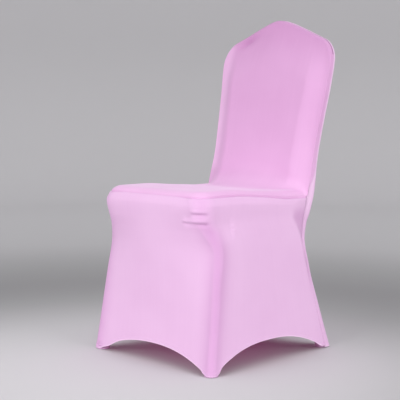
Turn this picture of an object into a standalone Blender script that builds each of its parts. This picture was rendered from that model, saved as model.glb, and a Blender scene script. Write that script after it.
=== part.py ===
"""A fitted stretch cover for a crown-back banquet chair, hollow, in the shape it has while it is pulled over its chair.

Seven sewn pieces: one panel for the inside of the back and the seat, a skirt round the front and sides, an outside
back panel from the crown to the rear feet, and four pockets that go under the feet. The chair faces -Y, and +X is the
right side seen from the front. The panels are worked out above the floor that the chair stands on, x from the middle of
the chair. An empty then lowers them all, so that the world's origin is the point under the crown that holds the cover.
"""

import math
from collections import namedtuple

import bmesh
import bpy
from mathutils import Vector

# Cloth
CLOTH = 0.0012
SEW_GAP = 0.0003
LEG_SEAM_GAP = 0.0009

# The point inside the crown that the chair's back holds up
CROWN_HOLD = Vector((0.0, 0.3115, 0.9285))

# Back of the chair, seen from the front
CROWN_TOP = 0.930
CROWN_SLOPE = 0.44
CROWN_PEAK_SOFTNESS = 0.030
SHOULDER_ROUND = 0.075
SHOULDER_START = 0.800
PAD_PROUD = 0.026
PAD_BEVEL = 0.055
PAD_EDGE_POWER = 2.4

# Seat
SEAT_FRONT_Y = -0.205
SEAT_CORNER_X = 0.196
SEAT_CORNER_ROUND = 0.048
SEAT_CROWN = 0.014
SEAT_CROWN_REACH = 0.075
LAP_ROUND_MIDDLE = 0.075
LAP_ROUND_EDGE = 0.006
LAP_Y = 0.16

# Hems: an arch between two feet, flat-topped as its power grows
Arch = namedtuple("Arch", "middle rise half_span power")
FRONT_ARCH = Arch(0.0, 0.0515, 0.232, 2.2)
SIDE_ARCH = Arch(0.030, 0.063, 0.240, 2.5)
REAR_ARCH = Arch(0.0, 0.058, 0.205, 2.4)
WAIST_HEIGHT = 0.330

# Feet: where the hem leaves its arch to run down round a foot, and where it has run down, from the foot's corner
Tongue = namedtuple("Tongue", "down_from down_at")
FRONT_TONGUE = Tongue(0.036, 0.022)
REAR_TONGUE = Tongue(0.060, 0.020)
TONGUE_END = 0.0060
FOOT_ROUND = 0.022
POCKET_RADIUS = 0.0175
POCKET_HEIGHT = 0.022
SOLE_RADIUS = 0.0205
SOLE_RIM_HEIGHT = 0.0032

# The skirt's outline at each height, for the half at +X: the middle of the front, the front corner and how round it
# is, the middle of the side, the ridge where the side turns in towards the rear leg, and the seam at the rear leg.
SkirtLevel = namedtuple(
    "SkirtLevel",
    "height front_y corner_x corner_y corner_round side_x ridge_x ridge_y seam_x seam_y",
)
SKIRT_LEVELS = (
    SkirtLevel(0.000, -0.200, 0.242, -0.212, 0.022, 0.225, 0.2110, 0.256, 0.2105, 0.266),
    SkirtLevel(0.130, -0.192, 0.2335, -0.191, 0.020, 0.219, 0.2085, 0.214, 0.2075, 0.226),
    SkirtLevel(0.240, -0.194, 0.226, -0.173, 0.018, 0.213, 0.2065, 0.187, 0.2035, 0.196),
    SkirtLevel(0.310, -0.198, 0.2215, -0.162, 0.019, 0.2085, 0.2055, 0.170, 0.1935, 0.182),
    SkirtLevel(0.357, -0.203, 0.2110, -0.178, 0.032, 0.2055, 0.2045, 0.148, 0.1895, 0.188),
    SkirtLevel(0.390, -0.208, 0.2030, -0.199, 0.040, 0.2035, 0.2035, 0.130, 0.1935, 0.192),
    SkirtLevel(0.426, -0.212, 0.2035, -0.211, 0.047, 0.2060, 0.2030, 0.130, 0.1975, 0.196),
    SkirtLevel(0.452, -0.205, 0.1960, -0.205, 0.048, 0.1985, 0.1980, 0.130, 0.1965, 0.200),
)

# The height of the seam round the seat, from its front edge to the rear legs
SeamPoint = namedtuple("SeamPoint", "y height")
SEAT_SEAM = (
    SeamPoint(-0.205, 0.4520),
    SeamPoint(-0.080, 0.4525),
    SeamPoint(0.000, 0.4470),
    SeamPoint(0.062, 0.4410),
    SeamPoint(0.125, 0.4345),
    SeamPoint(0.200, 0.4340),
)

# The outside back panel at each height: its middle, the corner at the rear leg or the back's edge and how round it
# is, and the seam where it meets the skirt or the inside back.
RearLevel = namedtuple("RearLevel", "height middle_y corner_x corner_y corner_round seam_x seam_y")
REAR_LEVELS = (
    RearLevel(0.000, 0.282, 0.2105, 0.296, FOOT_ROUND, 0.2105, 0.266),
    RearLevel(0.130, 0.240, 0.2075, 0.249, 0.017, 0.2075, 0.226),
    RearLevel(0.240, 0.218, 0.2040, 0.212, 0.012, 0.2035, 0.196),
    RearLevel(0.310, 0.213, 0.1940, 0.199, 0.012, 0.1935, 0.182),
    RearLevel(0.357, 0.216, 0.1900, 0.206, 0.012, 0.1895, 0.188),
    RearLevel(0.390, 0.219, 0.1940, 0.215, 0.012, 0.1935, 0.192),
    RearLevel(0.440, 0.227, 0.1965, 0.228, 0.012, 0.1965, 0.199),
    RearLevel(0.540, 0.244, 0.1935, 0.248, 0.012, 0.1935, 0.219),
    RearLevel(0.640, 0.263, 0.1980, 0.268, 0.012, 0.1980, 0.239),
    RearLevel(0.720, 0.279, 0.2035, 0.284, 0.012, 0.2035, 0.255),
    RearLevel(0.800, 0.295, 0.2080, 0.299, 0.012, 0.2080, 0.270),
    RearLevel(0.930, 0.321, 0.2080, 0.325, 0.012, 0.2080, 0.296),
)

# Shares of the skirt's columns on the front, round the corner and on the side; the rest lie behind the ridge
FRONT_SHARE = 0.36
CORNER_SHARE = 0.22
SIDE_SHARE = 0.32
ABOVE_WAIST_SHARE = 0.58
CROWN_LIFT_POWER = 4
ARC_HANDLE = 0.5523

# How many faces across half a panel, and along it
SEAT_BACK_COLUMNS = 10
SEAT_ARC_ROWS = 5
SEAT_ROWS = 12
LAP_ROWS = 5
BACK_ROWS = 16
SKIRT_COLUMNS = 24
SKIRT_ROWS = 14
REAR_COLUMNS = 8
REAR_ROWS = 28
POCKET_SIDES = 14
EDGE_TURNS = (math.radians(30), math.radians(60), math.radians(90))

PINK = (0.83, 0.50, 0.80, 1.0)
CLOTH_ROUGHNESS = 0.55


def clamp01(value):
    return min(max(value, 0.0), 1.0)


def smoothstep(value):
    value = clamp01(value)
    return value * value * (3.0 - 2.0 * value)


def rounded_rise(value):
    """0 at an edge, up steeply and then level at 1, as cloth over a padded edge."""
    return 1.0 - (1.0 - clamp01(value)) ** PAD_EDGE_POWER


def row_slope(rows, index, column):
    """The slope through a row of a table, level where the column turns back, so that no value overshoots."""
    if index in (0, len(rows) - 1):
        return 0.0 if index else (rows[1][column] - rows[0][column]) / (rows[1][0] - rows[0][0])
    before = (rows[index][column] - rows[index - 1][column]) / (rows[index][0] - rows[index - 1][0])
    after = (rows[index + 1][column] - rows[index][column]) / (rows[index + 1][0] - rows[index][0])
    return 0.0 if before * after <= 0.0 else 2.0 * before * after / (before + after)


def between_rows(rows, position):
    """The row at this position in the first column, on a smooth curve through the table's rows."""
    position = min(max(position, rows[0][0]), rows[-1][0])
    index = max(i for i in range(len(rows) - 1) if rows[i][0] <= position)
    low, high = rows[index], rows[index + 1]
    span = high[0] - low[0]
    t = (position - low[0]) / span
    values = [position]
    for column in range(1, len(low)):
        start = row_slope(rows, index, column) * span
        end = row_slope(rows, index + 1, column) * span
        values.append(
            low[column] * (2 * t**3 - 3 * t**2 + 1)
            + start * (t**3 - 2 * t**2 + t)
            + high[column] * (3 * t**2 - 2 * t**3)
            + end * (t**3 - t**2)
        )
    return type(low)(*values)


def arch_height(arch, along):
    return arch.rise * (1.0 - clamp01(abs(along - arch.middle) / arch.half_span) ** arch.power)


def crown_height(x):
    """The top of the back at this distance from its middle: a soft peak, a straight slope and a round shoulder."""
    edge = REAR_LEVELS[-1].corner_x
    slope_angle = math.atan(CROWN_SLOPE)
    arc_middle = edge - SHOULDER_ROUND
    if x > arc_middle + SHOULDER_ROUND * math.sin(slope_angle):
        reach = min(x - arc_middle, SHOULDER_ROUND)
        return SHOULDER_START + math.sqrt(SHOULDER_ROUND**2 - reach**2)
    return CROWN_TOP - CROWN_SLOPE * (math.hypot(x, CROWN_PEAK_SOFTNESS) - CROWN_PEAK_SOFTNESS)


def crown_point(t):
    """A point on the crown's outline, from the peak at 0 to the shoulder at 1, and the outline's outward direction."""
    edge = REAR_LEVELS[-1].corner_x
    x = edge * math.sin(t * math.pi / 2)
    step = 1e-4
    inner = max(x - step, 0.0)
    outer = min(x + step, edge)
    along = Vector((outer - inner, crown_height(outer) - crown_height(inner)))
    if t == 0.0:
        along = Vector((1.0, 0.0))
    if t == 1.0:
        along = Vector((0.0, -1.0))
    along.normalize()
    return Vector((x, crown_height(x))), Vector((-along.y, along.x))


def skirt_outline(level, t):
    """A point on the skirt's outline at one level, from the front's middle at 0 to the rear seam at 1."""
    corner = Vector((level.corner_x, level.corner_y))
    ridge = Vector((level.ridge_x, level.ridge_y))
    bow = level.side_x - (level.corner_x + level.ridge_x) / 2

    def front(s):
        return Vector((corner.x * s, level.front_y + (corner.y - level.front_y) * s * s))

    def side(s):
        return corner.lerp(ridge, s) + Vector((bow * 4 * s * (1 - s), 0.0))

    front_end = 1 - level.corner_round / corner.x
    side_start = level.corner_round / (ridge - corner).length
    if t < FRONT_SHARE:
        return front(front_end * t / FRONT_SHARE)
    t -= FRONT_SHARE
    if t < CORNER_SHARE:
        s = t / CORNER_SHARE
        start, end = front(front_end), side(side_start)
        from_start = start.lerp(corner, ARC_HANDLE)
        from_end = end.lerp(corner, ARC_HANDLE)
        return (
            start * (1 - s) ** 3
            + from_start * 3 * s * (1 - s) ** 2
            + from_end * 3 * s * s * (1 - s)
            + end * s**3
        )
    t -= CORNER_SHARE
    if t < SIDE_SHARE:
        return side(side_start + (1 - side_start) * t / SIDE_SHARE)
    s = (t - SIDE_SHARE) / (1 - FRONT_SHARE - CORNER_SHARE - SIDE_SHARE)
    return ridge.lerp(Vector((level.seam_x, level.seam_y)), s)


def on_arch(tongue, distance):
    """1 on the arch, 0 where the hem has run down round a foot, by the distance from the foot's corner."""
    return smoothstep((distance - tongue.down_at) / (tongue.down_from - tongue.down_at))


def hem_height(arch, along):
    return TONGUE_END + max(arch_height(arch, along) - TONGUE_END, 0.0)


def skirt_hem_height(t):
    foot = SKIRT_LEVELS[0]
    point = skirt_outline(foot, t)
    if t < FRONT_SHARE + CORNER_SHARE / 2:
        arch = hem_height(FRONT_ARCH, point.x)
    else:
        arch = hem_height(SIDE_ARCH, point.y)
    front_foot = Vector((foot.corner_x - FOOT_ROUND / 3, foot.corner_y + FOOT_ROUND / 3))
    rear_foot = Vector((REAR_LEVELS[0].corner_x, REAR_LEVELS[0].corner_y - FOOT_ROUND / 2))
    lifted = on_arch(FRONT_TONGUE, (point - front_foot).length) * on_arch(REAR_TONGUE, (point - rear_foot).length)
    return TONGUE_END + (arch - TONGUE_END) * lifted


def skirt_point(t, v):
    """The skirt, from the seat's seam at v = 0 to its hem at v = 1."""
    seam_level = SKIRT_LEVELS[-1]
    if v < ABOVE_WAIST_SHARE:
        drop = v / ABOVE_WAIST_SHARE
        top = between_rows(SEAT_SEAM, skirt_outline(seam_level, t).y).height - CLOTH - SEW_GAP
        height = top + (WAIST_HEIGHT - top) * drop
        ridge_t = FRONT_SHARE + CORNER_SHARE + SIDE_SHARE
        past_ridge = clamp01((t - ridge_t) / (1 - ridge_t))
        outline_height = height + (seam_level.height - top) * (1 - drop) * (1 - past_ridge)
    else:
        drop = (v - ABOVE_WAIST_SHARE) / (1 - ABOVE_WAIST_SHARE)
        height = WAIST_HEIGHT + (skirt_hem_height(t) - WAIST_HEIGHT) * drop
        outline_height = height
    outline = skirt_outline(between_rows(SKIRT_LEVELS, outline_height), t)
    return Vector((outline.x, outline.y, height))


def rear_hem_height(x):
    foot_x = REAR_LEVELS[0].corner_x - FOOT_ROUND / 3
    lifted = on_arch(FRONT_TONGUE, abs(foot_x - x))
    return TONGUE_END + (hem_height(REAR_ARCH, x) - TONGUE_END) * lifted


def rear_row(t, v):
    """Place on the outside back's outline plan, from the hem at v = 0 to the crown at 1, and the way out of its edge."""
    if v == 1.0:
        return crown_point(t)
    spread = math.sin(t * math.pi / 2)
    hem = rear_hem_height(REAR_LEVELS[0].corner_x * spread)
    over_shoulder = crown_height(REAR_LEVELS[-1].corner_x * spread) - SHOULDER_START
    height = hem + (SHOULDER_START - hem) * v + over_shoulder * v**CROWN_LIFT_POWER
    return Vector((between_rows(REAR_LEVELS, height).corner_x * spread, height)), Vector((1.0, 0.0))


def rear_point(t, v):
    """The flat of the outside back, whose edges stop short of the outline by the roundness of the edge."""
    place, outward = rear_row(t, v)
    level = between_rows(REAR_LEVELS, place.y)
    share = place.x / level.corner_x
    if t == 1.0 or v == 1.0:
        place = place - outward * level.corner_round
    else:
        place.x *= 1 - level.corner_round / level.corner_x
        place.y -= level.corner_round * v**CROWN_LIFT_POWER
    hollow = level.middle_y - level.corner_y
    return Vector((place.x, level.corner_y + hollow * (1 - share**2) ** 2, place.y))


def edge_point(t, v, turn):
    """A point where the outside back turns forward over its edge, through this angle, or at its seam for None."""
    place, outward = rear_row(t, v)
    level = between_rows(REAR_LEVELS, place.y)
    if turn is None:
        gap = SEW_GAP if place.y > SEAT_SEAM[-1].height else LEG_SEAM_GAP
        seam_y = level.seam_y + CLOTH + gap
        return Vector((place.x + level.seam_x - level.corner_x, seam_y, place.y))
    place = place - outward * level.corner_round * (1 - math.sin(turn))
    return Vector((place.x, level.corner_y - level.corner_round * (1 - math.cos(turn)), place.y))


def back_seam_y(height):
    return between_rows(REAR_LEVELS, height).seam_y


def seat_height(x, y):
    """The top of the seat: the seam's height, and the soft crown that the padding gives it."""
    straight = SEAT_CORNER_X - SEAT_CORNER_ROUND
    past = max(x - straight, 0.0)
    front_edge = SEAT_FRONT_Y + SEAT_CORNER_ROUND - math.sqrt(max(SEAT_CORNER_ROUND**2 - past**2, 0.0))
    from_front = rounded_rise((y - front_edge) / SEAT_CROWN_REACH)
    from_side = rounded_rise((seat_half_width(y) - x) / SEAT_CROWN_REACH)
    return between_rows(SEAT_SEAM, y).height + SEAT_CROWN * from_front * from_side


def seat_half_width(y):
    """Half the seat's width at its seam, drawn in round the front corner."""
    full = skirt_outline_side_x(y)
    depth = min(y - SEAT_FRONT_Y, SEAT_CORNER_ROUND)
    return full - SEAT_CORNER_ROUND + math.sqrt(SEAT_CORNER_ROUND**2 - (SEAT_CORNER_ROUND - depth) ** 2)


def skirt_outline_side_x(y):
    """The side of the skirt's top outline at this depth."""
    level = SKIRT_LEVELS[-1]
    share = clamp01((y - level.corner_y) / (level.ridge_y - level.corner_y))
    bow = level.side_x - (level.corner_x + level.ridge_x) / 2
    return level.corner_x + (level.ridge_x - level.corner_x) * share + bow * 4 * share * (1 - share)


def inside_back_y(height, edge_distance):
    """The inside of the back: its seam line, and the pad that stands proud of it inside a soft bevel."""
    return back_seam_y(height) - PAD_PROUD * smoothstep(edge_distance / PAD_BEVEL)


def seat_back_point(t, v):
    """The inside back and seat, from the seat's front seam at v = 0 to the crown at v = 1."""
    rows = SEAT_ROWS + LAP_ROWS + BACK_ROWS
    spread = math.sin(t * math.pi / 2)
    lap_round = LAP_ROUND_MIDDLE + (LAP_ROUND_EDGE - LAP_ROUND_MIDDLE) * spread**2
    lap_height = seat_height(seat_half_width(LAP_Y) * spread, LAP_Y)
    lap_x = between_rows(REAR_LEVELS, lap_height).corner_x * spread
    lap_y = inside_back_y(lap_height, between_rows(REAR_LEVELS, lap_height).corner_x - lap_x)
    seat_end = lap_y - lap_round
    row = round(v * rows)
    if row <= SEAT_ROWS:
        if row <= SEAT_ARC_ROWS:
            y = SEAT_FRONT_Y + SEAT_CORNER_ROUND * (1 - math.cos(math.pi / 2 * row / SEAT_ARC_ROWS))
        else:
            share = (row - SEAT_ARC_ROWS) / (SEAT_ROWS - SEAT_ARC_ROWS)
            y = SEAT_FRONT_Y + SEAT_CORNER_ROUND + (seat_end - SEAT_FRONT_Y - SEAT_CORNER_ROUND) * share
        x = seat_half_width(y) * spread
        return Vector((x, y, seat_height(x, y)))
    back_start = lap_height + lap_round
    if row <= SEAT_ROWS + LAP_ROWS:
        s = (row - SEAT_ROWS) / LAP_ROWS
        seat_x = seat_half_width(seat_end) * spread
        start = Vector((seat_x, seat_end, seat_height(seat_x, seat_end)))
        width = between_rows(REAR_LEVELS, back_start).corner_x
        end = Vector((width * spread, inside_back_y(back_start, width * (1 - spread)), back_start))
        knee = Vector((lap_x, lap_y, lap_height))
        return start * (1 - s) ** 2 + knee * 2 * s * (1 - s) + end * s * s
    s = (row - SEAT_ROWS - LAP_ROWS) / BACK_ROWS
    over_shoulder = crown_height(REAR_LEVELS[-1].corner_x * spread) - SHOULDER_START
    height = back_start + (SHOULDER_START - back_start) * s + over_shoulder * s**CROWN_LIFT_POWER
    width = between_rows(REAR_LEVELS, height).corner_x
    x = width * spread
    from_crown = (crown_height(x) - height) * math.cos(math.atan(CROWN_SLOPE))
    return Vector((x, inside_back_y(height, max(min(width - x, from_crown), 0.0)), height))


def pink_cloth(name):
    material = bpy.data.materials.new(name)
    material.use_nodes = True
    shader = material.node_tree.nodes["Principled BSDF"]
    shader.inputs["Base Color"].default_value = PINK
    shader.inputs["Roughness"].default_value = CLOTH_ROUGHNESS
    shader.inputs["Metallic"].default_value = 0.0
    return material


def half_grid(columns, rows, place):
    """A grid of cloth whose two directions run from 0 to 1, each vertex put in its place."""
    bm = bmesh.new()
    bmesh.ops.create_grid(bm, x_segments=columns, y_segments=rows, size=0.5)
    across = {vert: (round(vert.co.x + 0.5, 6), round(vert.co.y + 0.5, 6)) for vert in bm.verts}
    for vert, (t, v) in across.items():
        vert.co = place(t, v)
    return bm, across


def add_cloth(name, bm, parts, floor, mirrored=True):
    """The panel as an object: its second half, and its thickness on the inner side."""
    mesh = bpy.data.meshes.new(name)
    bm.to_mesh(mesh)
    bm.free()
    mesh.shade_smooth()
    mesh.materials.append(pink_cloth(name))
    panel = bpy.data.objects.new(name, mesh)
    parts.objects.link(panel)
    panel.parent = floor
    if mirrored:
        mirror = panel.modifiers.new("other half", "MIRROR")
        mirror.merge_threshold = 0.0001
    thickness = panel.modifiers.new("cloth thickness", "SOLIDIFY")
    thickness.thickness = CLOTH
    thickness.offset = -1.0
    thickness.use_even_offset = True
    return panel


def add_inside_back_and_seat(parts, floor):
    bm, _ = half_grid(SEAT_BACK_COLUMNS, SEAT_ROWS + LAP_ROWS + BACK_ROWS, seat_back_point)
    add_cloth("inside_back_and_seat", bm, parts, floor)


def add_skirt(parts, floor):
    bm, _ = half_grid(SKIRT_COLUMNS, SKIRT_ROWS, skirt_point)
    bmesh.ops.reverse_faces(bm, faces=bm.faces)
    add_cloth("skirt", bm, parts, floor)


def add_outside_back(parts, floor):
    """The flat of the panel, and its side and top edges carried round to the seam, one ring after another."""
    bm, across = half_grid(REAR_COLUMNS, REAR_ROWS, rear_point)
    ring = {vert: place for vert, place in across.items() if 1.0 in place}
    edges = [edge for edge in bm.edges if edge.is_boundary and all(vert in ring for vert in edge.verts)]
    for turn in EDGE_TURNS + (None,):
        made = bmesh.ops.extrude_edge_only(bm, edges=edges)["geom"]
        fresh = {item for item in made if isinstance(item, bmesh.types.BMVert)}
        edges = [item for item in made if isinstance(item, bmesh.types.BMEdge) and fresh.issuperset(item.verts)]
        carried = {}
        for vert in fresh:
            source = next(other for other in (edge.other_vert(vert) for edge in vert.link_edges) if other in ring)
            carried[vert] = ring[source]
            vert.co = edge_point(*ring[source], turn)
        ring = carried
    bmesh.ops.reverse_faces(bm, faces=bm.faces)
    add_cloth("outside_back", bm, parts, floor)


def foot_middle(side, rear, height):
    """The middle of a foot pocket at this height: it leans as its leg does."""
    if rear:
        level = between_rows(REAR_LEVELS, height)
        return Vector((side * (level.corner_x - FOOT_ROUND), level.corner_y - FOOT_ROUND))
    level = between_rows(SKIRT_LEVELS, height)
    return Vector((side * (level.corner_x - FOOT_ROUND), level.corner_y + FOOT_ROUND))


def add_foot_pocket(name, side, rear, parts, floor):
    """A cup of cloth, open above, with a flat sole and a rim that shows under the skirt's tip."""
    bm = bmesh.new()
    bmesh.ops.create_circle(bm, cap_ends=True, radius=SOLE_RADIUS - CLOTH, segments=POCKET_SIDES)
    sole = bm.faces[:]
    bmesh.ops.recalc_face_normals(bm, faces=sole)
    if sole[0].normal.z > 0:
        bmesh.ops.reverse_faces(bm, faces=sole)
    rim = [edge for edge in bm.edges if edge.is_boundary]
    rings = (
        (SOLE_RADIUS, CLOTH),
        (SOLE_RADIUS, SOLE_RIM_HEIGHT),
        (POCKET_RADIUS, SOLE_RIM_HEIGHT),
        (POCKET_RADIUS, POCKET_HEIGHT),
    )
    for radius, height in rings:
        made = bmesh.ops.extrude_edge_only(bm, edges=rim)["geom"]
        rim = [item for item in made if isinstance(item, bmesh.types.BMEdge)]
        for vert in {vert for edge in rim for vert in edge.verts}:
            flat = Vector((vert.co.x, vert.co.y, 0.0)).normalized() * radius
            vert.co = Vector((flat.x, flat.y, height))
    for vert in bm.verts:
        middle = foot_middle(side, rear, vert.co.z)
        vert.co.x += middle.x
        vert.co.y += middle.y
    add_cloth(name, bm, parts, floor, mirrored=False)


def main():
    for old in list(bpy.data.objects):
        bpy.data.objects.remove(old, do_unlink=True)
    parts = bpy.data.collections.new("fitted_stretch_chair_cover")
    bpy.context.scene.collection.children.link(parts)
    floor = bpy.data.objects.new("floor_under_the_chair", None)
    floor.location = -CROWN_HOLD
    parts.objects.link(floor)
    add_inside_back_and_seat(parts, floor)
    add_skirt(parts, floor)
    add_outside_back(parts, floor)
    for end in ("front", "rear"):
        for side_name, side in (("left", -1), ("right", 1)):
            add_foot_pocket(f"foot_pocket_{end}_{side_name}", side, end == "rear", parts, floor)
    bpy.context.view_layer.update()


main()
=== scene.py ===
# %% [markdown]
# # A fitted stretch chair cover
# The cover is one tube of stretch knit, sewn from three big panels and four foot pockets, and pulled over a
# crown-back banquet chair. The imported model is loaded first. It stays hidden under the cloth made here,
# which stands for it piece by piece.

# %% Load the frame
import math
from collections import namedtuple

import bmesh
import bpy
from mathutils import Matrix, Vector


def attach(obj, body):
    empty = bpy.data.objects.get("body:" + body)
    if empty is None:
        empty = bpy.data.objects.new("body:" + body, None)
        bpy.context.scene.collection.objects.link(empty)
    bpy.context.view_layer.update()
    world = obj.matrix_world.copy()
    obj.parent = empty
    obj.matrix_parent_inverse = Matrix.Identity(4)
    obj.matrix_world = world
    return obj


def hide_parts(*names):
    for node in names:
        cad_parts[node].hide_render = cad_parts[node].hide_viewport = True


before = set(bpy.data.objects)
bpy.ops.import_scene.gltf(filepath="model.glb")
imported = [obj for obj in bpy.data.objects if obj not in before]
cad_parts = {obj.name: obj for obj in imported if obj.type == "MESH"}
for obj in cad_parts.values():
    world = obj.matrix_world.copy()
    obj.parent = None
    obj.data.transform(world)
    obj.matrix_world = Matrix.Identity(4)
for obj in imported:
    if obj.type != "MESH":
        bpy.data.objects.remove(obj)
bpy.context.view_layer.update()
print("nodes:", ", ".join(sorted(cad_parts)))

# %% [markdown]
# ## Sizes
# A fitted cover takes the shape of its chair, so the sizes below are mostly the chair's: a padded back with
# a peaked crown, a cushion, and four legs that lean outwards. They are measured above the floor that the
# chair stands on. The world's origin is the point under the crown that holds the cover, so each finished
# mesh is lowered by `CROWN_HOLD`.

# %% Named sizes of the back, the seat, the hems and the feet
# Cloth
CLOTH = 0.0012
SEW_GAP = 0.0003

# The point inside the crown that the chair's back holds up
CROWN_HOLD = Vector((0.0, 0.3115, 0.9285))

# Back of the chair, seen from the front
CROWN_TOP = 0.930
CROWN_SLOPE = 0.425
CROWN_PEAK_SOFTNESS = 0.030
SHOULDER_ROUND = 0.075
SHOULDER_START = 0.8035
PAD_PROUD = 0.021
PAD_BEVEL = 0.068
PAD_CROWN_BEVEL = 0.125
PAD_EDGE_POWER = 2.4

# Seat
SEAT_FRONT_Y = -0.205
SEAT_CORNER_X = 0.196
SEAT_CORNER_ROUND = 0.048
SEAT_CROWN = 0.012
SEAT_CROWN_REAR = 0.006
SEAT_CROWN_REACH = 0.038
LAP_ROUND_MIDDLE = 0.075
LAP_ROUND_EDGE = 0.006
LAP_Y = 0.16

# Hems: an arch between two feet, flat-topped as its power grows
Arch = namedtuple("Arch", "middle rise half_span power")
FRONT_ARCH = Arch(0.0, 0.0515, 0.232, 2.2)
SIDE_ARCH = Arch(0.030, 0.063, 0.240, 2.5)
REAR_ARCH = Arch(0.0, 0.058, 0.205, 2.4)
WAIST_HEIGHT = 0.330

# Feet: how far from a foot's corner the hem leaves its arch, and how far from it the hem has run down
Tongue = namedtuple("Tongue", "down_from down_at")
FRONT_TONGUE = Tongue(0.036, 0.022)
REAR_TONGUE = Tongue(0.060, 0.020)
TONGUE_END = 0.0022
TONGUE_CURVE = 0.0045
FOOT_ROUND = 0.022
FOOT_INSET = FOOT_ROUND / 3
POCKET_RADIUS = 0.0175
POCKET_HEIGHT = 0.022
SOLE_RADIUS = 0.0185
SOLE_RIM_HEIGHT = 0.0016

# %% [markdown]
# ## The skirt's outline, level by level
# Seen from above, the skirt is a rounded rectangle that changes with height: full at the cushion, drawn in
# under it, then leaning out to the feet. A short table with one row for each level says so, and a curve
# joins the rows.

# %% The tables of levels
# The skirt's outline at each height, for the half at +X: the middle of the front, the front corner and how
# round it is, the middle of the side, the ridge where the side turns in towards the rear leg, and the seam
# at the rear leg.
SkirtLevel = namedtuple(
    "SkirtLevel",
    "height front_y corner_x corner_y corner_round side_x ridge_x ridge_y seam_x seam_y",
)
SKIRT_LEVELS = (
    SkirtLevel(0.000, -0.200, 0.242, -0.212, 0.022, 0.225, 0.2110, 0.256, 0.2105, 0.266),
    SkirtLevel(0.130, -0.192, 0.2335, -0.191, 0.020, 0.219, 0.2085, 0.214, 0.2075, 0.226),
    SkirtLevel(0.240, -0.194, 0.226, -0.173, 0.018, 0.213, 0.2065, 0.187, 0.2035, 0.196),
    SkirtLevel(0.310, -0.198, 0.2215, -0.162, 0.019, 0.2085, 0.2055, 0.170, 0.1935, 0.182),
    SkirtLevel(0.357, -0.203, 0.2110, -0.178, 0.032, 0.2055, 0.2045, 0.148, 0.1895, 0.188),
    SkirtLevel(0.390, -0.208, 0.2030, -0.199, 0.040, 0.2035, 0.2035, 0.130, 0.1935, 0.192),
    SkirtLevel(0.426, -0.212, 0.2035, -0.211, 0.047, 0.2060, 0.2030, 0.130, 0.1975, 0.196),
    SkirtLevel(0.452, -0.205, 0.1960, -0.205, 0.048, 0.1985, 0.1980, 0.130, 0.1965, 0.200),
)

# The height of the seam round the seat, from its front edge to the rear legs
SeamPoint = namedtuple("SeamPoint", "y height")
SEAT_SEAM = (
    SeamPoint(-0.205, 0.4520),
    SeamPoint(-0.080, 0.4525),
    SeamPoint(0.000, 0.4470),
    SeamPoint(0.062, 0.4410),
    SeamPoint(0.125, 0.4345),
    SeamPoint(0.200, 0.4340),
)

# The outside back panel at each height: its middle, the corner at the rear leg or the back's edge and how
# round it is, and the seam where it meets the skirt or the inside back.
RearLevel = namedtuple("RearLevel", "height middle_y corner_x corner_y corner_round seam_x seam_y")
REAR_LEVELS = (
    RearLevel(0.000, 0.284, 0.2115, 0.299, FOOT_ROUND, 0.2105, 0.266),
    RearLevel(0.130, 0.240, 0.2075, 0.249, 0.017, 0.2075, 0.226),
    RearLevel(0.240, 0.218, 0.2035, 0.210, 0.012, 0.2035, 0.196),
    RearLevel(0.310, 0.215, 0.1945, 0.201, 0.012, 0.1935, 0.182),
    RearLevel(0.357, 0.220, 0.1910, 0.211, 0.012, 0.1895, 0.188),
    RearLevel(0.390, 0.224, 0.1955, 0.221, 0.012, 0.1935, 0.192),
    RearLevel(0.440, 0.232, 0.1985, 0.234, 0.012, 0.1965, 0.199),
    RearLevel(0.540, 0.249, 0.1950, 0.253, 0.012, 0.1950, 0.223),
    RearLevel(0.640, 0.268, 0.1995, 0.273, 0.012, 0.1995, 0.244),
    RearLevel(0.720, 0.285, 0.2050, 0.290, 0.012, 0.2050, 0.261),
    RearLevel(0.800, 0.300, 0.2095, 0.304, 0.012, 0.2095, 0.275),
    RearLevel(0.930, 0.321, 0.2095, 0.325, 0.012, 0.2095, 0.296),
)

# %% [markdown]
# A smooth curve runs through each table. Its slope is level wherever a column turns back, so it never
# swings past a row: cloth under tension doesn't bulge between the things that it is stretched over.

# %% Curves through a table's rows


def clamp01(value):
    return min(max(value, 0.0), 1.0)


def smoothstep(value):
    value = clamp01(value)
    return value * value * (3.0 - 2.0 * value)


def rounded_rise(value):
    """0 at an edge, up steeply and then level at 1, as cloth over a padded edge."""
    return 1.0 - (1.0 - clamp01(value)) ** PAD_EDGE_POWER


def row_slope(rows, index, column):
    """The slope through a row of a table, level where the column turns back, so that no value overshoots."""
    if index in (0, len(rows) - 1):
        return 0.0 if index else (rows[1][column] - rows[0][column]) / (rows[1][0] - rows[0][0])
    before = (rows[index][column] - rows[index - 1][column]) / (rows[index][0] - rows[index - 1][0])
    after = (rows[index + 1][column] - rows[index][column]) / (rows[index + 1][0] - rows[index][0])
    return 0.0 if before * after <= 0.0 else 2.0 * before * after / (before + after)


def between_rows(rows, position):
    """The row at this position in the first column, on a smooth curve through the table's rows."""
    position = min(max(position, rows[0][0]), rows[-1][0])
    index = max(i for i in range(len(rows) - 1) if rows[i][0] <= position)
    low, high = rows[index], rows[index + 1]
    span = high[0] - low[0]
    t = (position - low[0]) / span
    values = [position]
    for column in range(1, len(low)):
        start = row_slope(rows, index, column) * span
        end = row_slope(rows, index + 1, column) * span
        values.append(
            low[column] * (2 * t**3 - 3 * t**2 + 1)
            + start * (t**3 - 2 * t**2 + t)
            + high[column] * (3 * t**2 - 2 * t**3)
            + end * (t**3 - t**2)
        )
    return type(low)(*values)


def bell(distance, width):
    """1 at no distance, and soon 0 past the width: the cross-section of a soft dent."""
    return math.exp(-((distance / width) ** 2))


# %% [markdown]
# ## The crown and the hems
# The top of the back is a soft peak with a straight slope to a round shoulder. Each hem is an arch between
# two feet, and runs down round each foot as a short tongue.

# %% The crown's outline and the arches of the hem


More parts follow.
